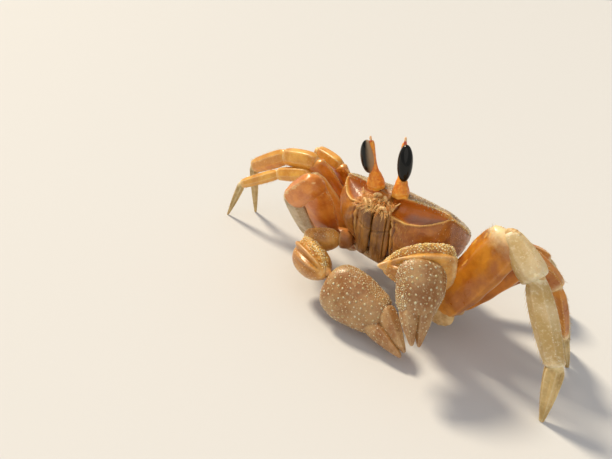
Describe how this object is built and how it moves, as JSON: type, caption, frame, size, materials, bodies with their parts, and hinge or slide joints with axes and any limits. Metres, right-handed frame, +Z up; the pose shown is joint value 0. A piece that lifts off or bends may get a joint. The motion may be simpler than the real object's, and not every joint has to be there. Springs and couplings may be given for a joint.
{
  "type": "ghost crab",
  "caption": "Life-size ghost crab standing with body reared up, tall stalked eyes, unequal claws held before the mouth and long jointed legs.",
  "frame": {"origin": "middle of the footprint box, on the floor", "axes": "+Z up, the crab faces -Y, its left side is +X"},
  "size_m": [0.1308, 0.0746, 0.0531],
  "materials": {
    "shell": "semi-gloss amber-brown crab shell",
    "underside": "smooth cream underside plates",
    "mouthparts": "olive-amber mouth plates, satin",
    "eyestalks": "mottled bright orange, satin",
    "corneas": "wet-looking glossy black",
    "claw_arms": "golden orange, granular",
    "claws": "grey-beige to tan, pearly granules",
    "leg_upper": "translucent amber-orange, satin",
    "leg_lower": "cream to pale olive-yellow, satin",
    "leg_tips": "pale cream, lightly ridged"
  },
  "bodies": {
    "root": {"carapace": "shell", "sternum": "underside", "abdomen": "underside", "maxilliped_left": "mouthparts", "eyestalk_left": "eyestalks", "cornea_left": "corneas", "maxilliped_right": "mouthparts", "eyestalk_right": "eyestalks", "cornea_right": "corneas", "cheliped_left_ischium": "claw_arms", "cheliped_left_merus": "claw_arms", "cheliped_left_carpus": "claw_arms", "cheliped_left_palm": "claws", "cheliped_left_dactyl": "claws", "cheliped_right_ischium": "claw_arms", "cheliped_right_merus": "claw_arms", "cheliped_right_carpus": "claw_arms", "cheliped_right_palm": "claws", "cheliped_right_dactyl": "claws", "leg_left_2_hip": "leg_upper", "leg_left_2_merus": "leg_upper", "leg_left_2_carpus": "leg_lower", "leg_left_2_propodus": "leg_lower", "leg_left_2_dactyl": "leg_tips", "leg_left_3_hip": "leg_upper", "leg_left_3_merus": "leg_upper", "leg_left_3_carpus": "leg_lower", "leg_left_3_propodus": "leg_lower", "leg_left_3_dactyl": "leg_tips", "leg_left_4_hip": "leg_upper", "leg_left_4_merus": "leg_upper", "leg_left_4_carpus": "leg_lower", "leg_left_4_propodus": "leg_lower", "leg_left_4_dactyl": "leg_tips", "leg_left_5_hip": "leg_upper", "leg_left_5_merus": "leg_upper", "leg_left_5_carpus": "leg_lower", "leg_left_5_propodus": "leg_lower", "leg_left_5_dactyl": "leg_tips", "leg_right_2_hip": "leg_upper", "leg_right_2_merus": "leg_upper", "leg_right_2_carpus": "leg_lower", "leg_right_2_propodus": "leg_lower", "leg_right_2_dactyl": "leg_tips", "leg_right_3_hip": "leg_upper", "leg_right_3_merus": "leg_upper", "leg_right_3_carpus": "leg_lower", "leg_right_3_propodus": "leg_lower", "leg_right_3_dactyl": "leg_tips", "leg_right_4_hip": "leg_upper", "leg_right_4_merus": "leg_upper", "leg_right_4_carpus": "leg_lower", "leg_right_4_propodus": "leg_lower", "leg_right_4_dactyl": "leg_tips", "leg_right_5_hip": "leg_upper", "leg_right_5_merus": "leg_upper", "leg_right_5_carpus": "leg_lower", "leg_right_5_propodus": "leg_lower", "leg_right_5_dactyl": "leg_tips"}
  },
  "joints": []
}
